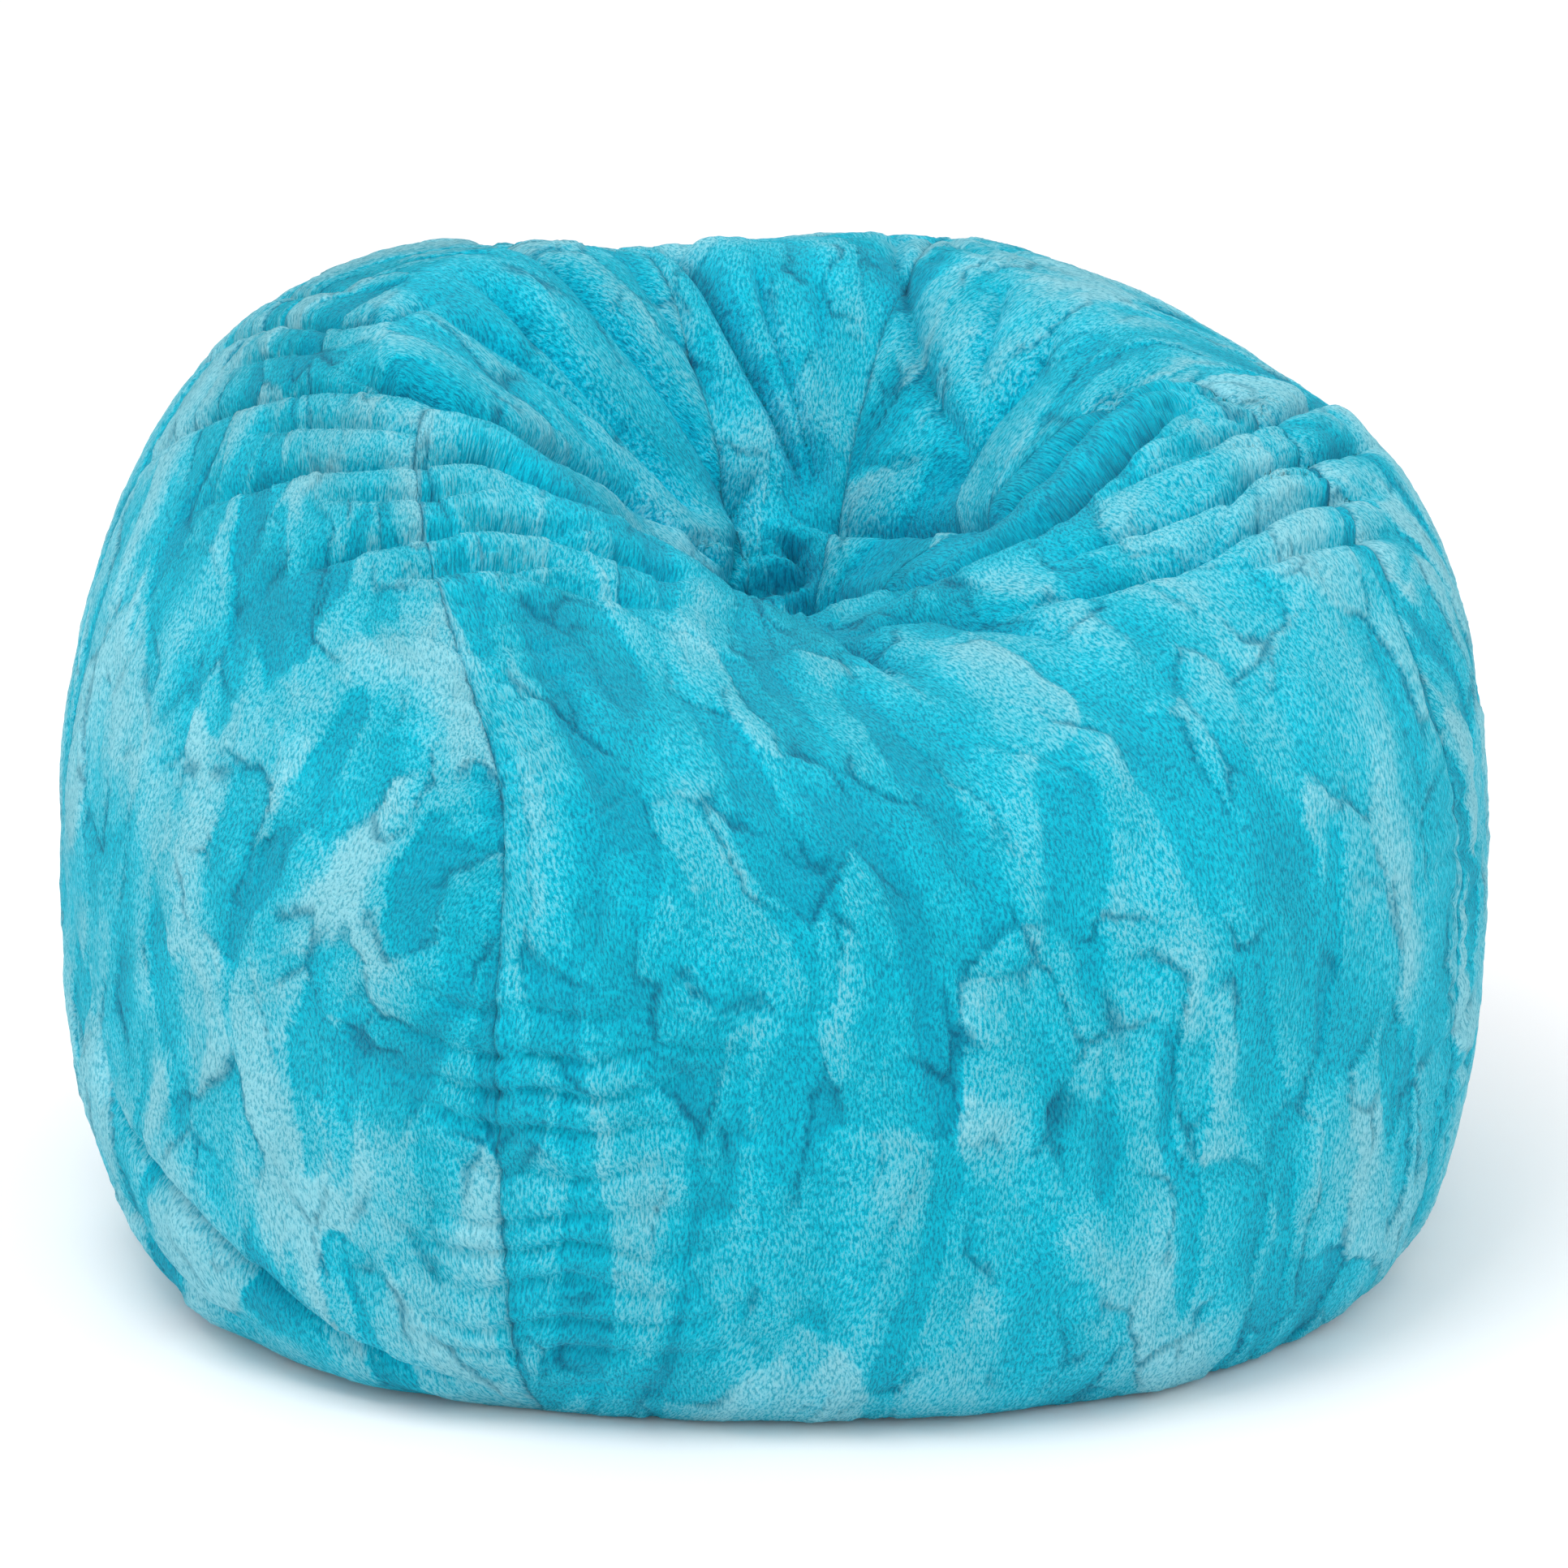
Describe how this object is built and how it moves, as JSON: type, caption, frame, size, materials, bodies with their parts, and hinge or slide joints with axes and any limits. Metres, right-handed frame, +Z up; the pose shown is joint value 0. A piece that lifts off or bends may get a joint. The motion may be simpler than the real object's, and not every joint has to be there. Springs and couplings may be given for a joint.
{
  "type": "bean bag chair",
  "caption": "Round plush bean bag chair with a sat-in hollow, a four-gore fur cover, a zipped base, a zipped cloth liner and a foam filling.",
  "frame": {"origin": "on the floor under the middle of the sack's outer box", "axes": "+Z up, -Y towards the front lip of the seat, +X to the right of someone facing the front"},
  "size_m": [1.0698, 1.03, 0.7128],
  "materials": {
    "plush_fur": "mottled turquoise long-pile plush, brushed",
    "base_fur": "the same plush with its pile pressed flat",
    "zip_tape": "woven polyester tape",
    "zip_coil": "polyester coil",
    "zip_metal": "nickel-plated die casting, tumbled",
    "liner_cloth": "plain woven polyester-cotton, unbleached",
    "liner_zip_tape": "woven polyester tape",
    "liner_zip_coil": "polyester coil",
    "liner_zip_metal": "nickel-plated die casting",
    "shredded_foam": "loose shredded foam"
  },
  "bodies": {
    "sack": {"front_gore": "plush_fur", "right_gore": "plush_fur", "back_gore": "plush_fur", "left_gore": "plush_fur", "base_front_half": "base_fur", "base_back_half": "base_fur", "zip_front_tape": "zip_tape", "zip_back_tape": "zip_tape", "zip_front_coil": "zip_coil", "zip_back_coil": "zip_coil", "zip_top_stops": "zip_metal", "zip_bottom_stop": "zip_metal", "liner_front_gore": "liner_cloth", "liner_right_gore": "liner_cloth", "liner_back_gore": "liner_cloth", "liner_left_gore": "liner_cloth", "liner_base_front": "liner_cloth", "liner_base_back": "liner_cloth", "liner_zip_front_tape": "liner_zip_tape", "liner_zip_back_tape": "liner_zip_tape", "liner_zip_front_coil": "liner_zip_coil", "liner_zip_back_coil": "liner_zip_coil", "liner_zip_stops": "liner_zip_metal", "foam_filling": "shredded_foam"},
    "slider": {"zip_slider": "zip_metal"},
    "pull": {"zip_pull": "zip_metal"},
    "liner_slider": {"liner_zip_slider": "liner_zip_metal"}
  },
  "joints": [
    {"name": "zip_slide", "type": "slide", "parent": "sack", "child": "slider", "axis": [-1, 0, 0], "range_m": [0, 0.757]},
    {"name": "pull_swing", "type": "hinge", "parent": "slider", "child": "pull", "pos_m": [0.3776, 0, 0.00592], "axis": [0, -1, 0], "range_deg": [0, 180]},
    {"name": "liner_zip_slide", "type": "slide", "parent": "sack", "child": "liner_slider", "axis": [-1, 0, 0], "range_m": [0, 0.719]}
  ]
}
